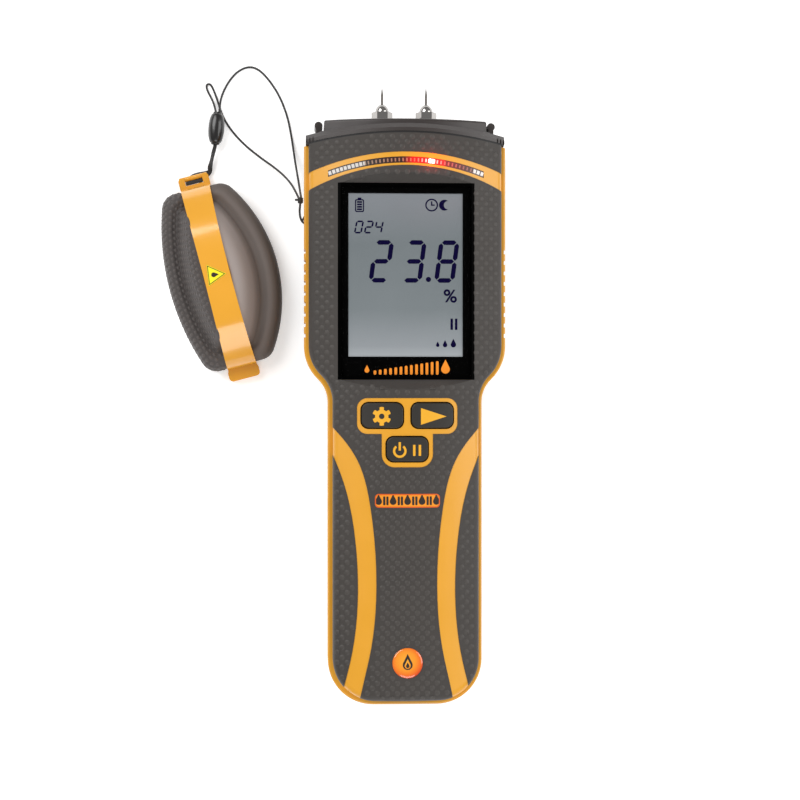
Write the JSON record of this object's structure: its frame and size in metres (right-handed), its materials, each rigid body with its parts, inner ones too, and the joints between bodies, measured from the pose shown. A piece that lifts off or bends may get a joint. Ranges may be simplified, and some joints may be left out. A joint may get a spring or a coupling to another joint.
{
  "type": "pin moisture meter",
  "caption": "Handheld moisture meter with pin electrodes, display, light bar and keys, with its pin cap on a wrist lanyard.",
  "frame": {"origin": "on the flat back, on the handle's centre line level with the lower edge of the head's neck", "axes": "+X across the meter, +Y along it towards the pins, +Z out of the display"},
  "size_m": [0.1094, 0.2049, 0.0344],
  "materials": {
    "case_plastic": "satin moulded",
    "grip_rubber": "matt, dimpled",
    "grip_rubber_hard": "fine grained",
    "seal_rubber": "matt",
    "steel": "plated",
    "needle_steel": "ground",
    "chrome": "polished",
    "brass": "turned",
    "end_cap_plastic": "satin",
    "window": "clear polycarbonate",
    "window_print": "black print",
    "lcd_glass": "grey-green display",
    "light_guide": "frosted",
    "inner_plastic": "moulded",
    "light_bar": "smoked clear",
    "board": "solder mask",
    "led": "cast resin",
    "chip": "moulded resin",
    "key_rubber": "satin",
    "badge_plastic": "glossy",
    "battery_wrap": "printed sleeve",
    "cap_strap_plastic": "satin moulded",
    "cap_rubber": "matt",
    "label_film": "printed film",
    "bead_plastic": "polished",
    "cord": "woven",
    "ribbon": "woven tape"
  },
  "bodies": {
    "root": {"front_shell": "case_plastic", "rear_shell": "case_plastic", "front_grip": "grip_rubber", "rear_grip": "grip_rubber", "case_seal": "seal_rubber", "case_screws": "steel", "lanyard_bar": "steel", "end_cap": "end_cap_plastic", "end_cap_gasket": "seal_rubber", "electrode_sockets": "brass", "probe_socket": "brass", "display_window": "window", "window_mask": "window_print", "lcd_panel": "lcd_glass", "lcd_backlight": "light_guide", "zebra_strip": "seal_rubber", "lcd_holder": "inner_plastic", "light_bar_lens": "light_bar", "light_bar_board": "board", "light_bar_leds": "led", "main_board": "board", "board_components": "chip", "buzzer": "chip", "key_mat": "key_rubber", "dome_switches": "steel", "name_plate": "badge_plastic", "badge": "badge_plastic", "battery_1": "battery_wrap", "battery_2": "battery_wrap", "battery_contacts": "steel", "lanyard_bead": "bead_plastic", "cord_long": "cord", "cord_short": "cord", "lanyard_hitch": "cord", "tether_ribbon": "ribbon"},
    "settings_key": {"key_settings": "key_rubber"},
    "reference_key": {"key_reference": "key_rubber"},
    "power_key": {"key_power": "key_rubber"},
    "left_pin": {"needle_left": "needle_steel"},
    "left_nut": {"pin_nut_left": "chrome"},
    "right_pin": {"needle_right": "needle_steel"},
    "right_nut": {"pin_nut_right": "chrome"},
    "battery_door": {"battery_cover": "grip_rubber_hard"},
    "pin_cap": {"cap_core": "cap_strap_plastic", "cap_grip_textured": "cap_rubber", "cap_grip_smooth": "cap_rubber", "cap_label": "label_film"}
  },
  "joints": [
    {"name": "settings_press", "type": "slide", "parent": "root", "child": "settings_key", "axis": [0, 0, -1], "range_m": [0, 0.0007], "stiffness_N_per_m": 1200},
    {"name": "reference_press", "type": "slide", "parent": "root", "child": "reference_key", "axis": [0, 0, -1], "range_m": [0, 0.0007], "stiffness_N_per_m": 1200},
    {"name": "power_press", "type": "slide", "parent": "root", "child": "power_key", "axis": [0, 0, -1], "range_m": [0, 0.0007], "stiffness_N_per_m": 1200},
    {"name": "left_pin_lift", "type": "slide", "parent": "root", "child": "left_pin", "axis": [0, 1, 0], "range_m": [0, 0.0028]},
    {"name": "left_nut_turn", "type": "hinge", "parent": "left_pin", "child": "left_nut", "pos_m": [-0.007, 0.0935, 0.0175], "axis": [0, 1, 0], "range_deg": [0, 1440]},
    {"name": "right_pin_lift", "type": "slide", "parent": "root", "child": "right_pin", "axis": [0, 1, 0], "range_m": [0, 0.0028]},
    {"name": "right_nut_turn", "type": "hinge", "parent": "right_pin", "child": "right_nut", "pos_m": [0.007, 0.0935, 0.0175], "axis": [0, 1, 0], "range_deg": [0, 1440]},
    {"name": "battery_cover_tilt", "type": "hinge", "parent": "root", "child": "battery_door", "pos_m": [0, -0.08175, 0.00015], "axis": [-1, 0, 0], "range_deg": [0, 60]},
    {"name": "cap_swing", "type": "hinge", "parent": "root", "child": "pin_cap", "pos_m": [-0.06774, 0.07592, 0.002], "axis": [-0.9677, -0.2521, 0], "range_deg": [0, 75]}
  ],
  "couplings": [
    {"joint": "left_nut_turn", "follows": "left_pin_lift", "rad_per_m": 8976},
    {"joint": "right_nut_turn", "follows": "right_pin_lift", "rad_per_m": 8976}
  ]
}
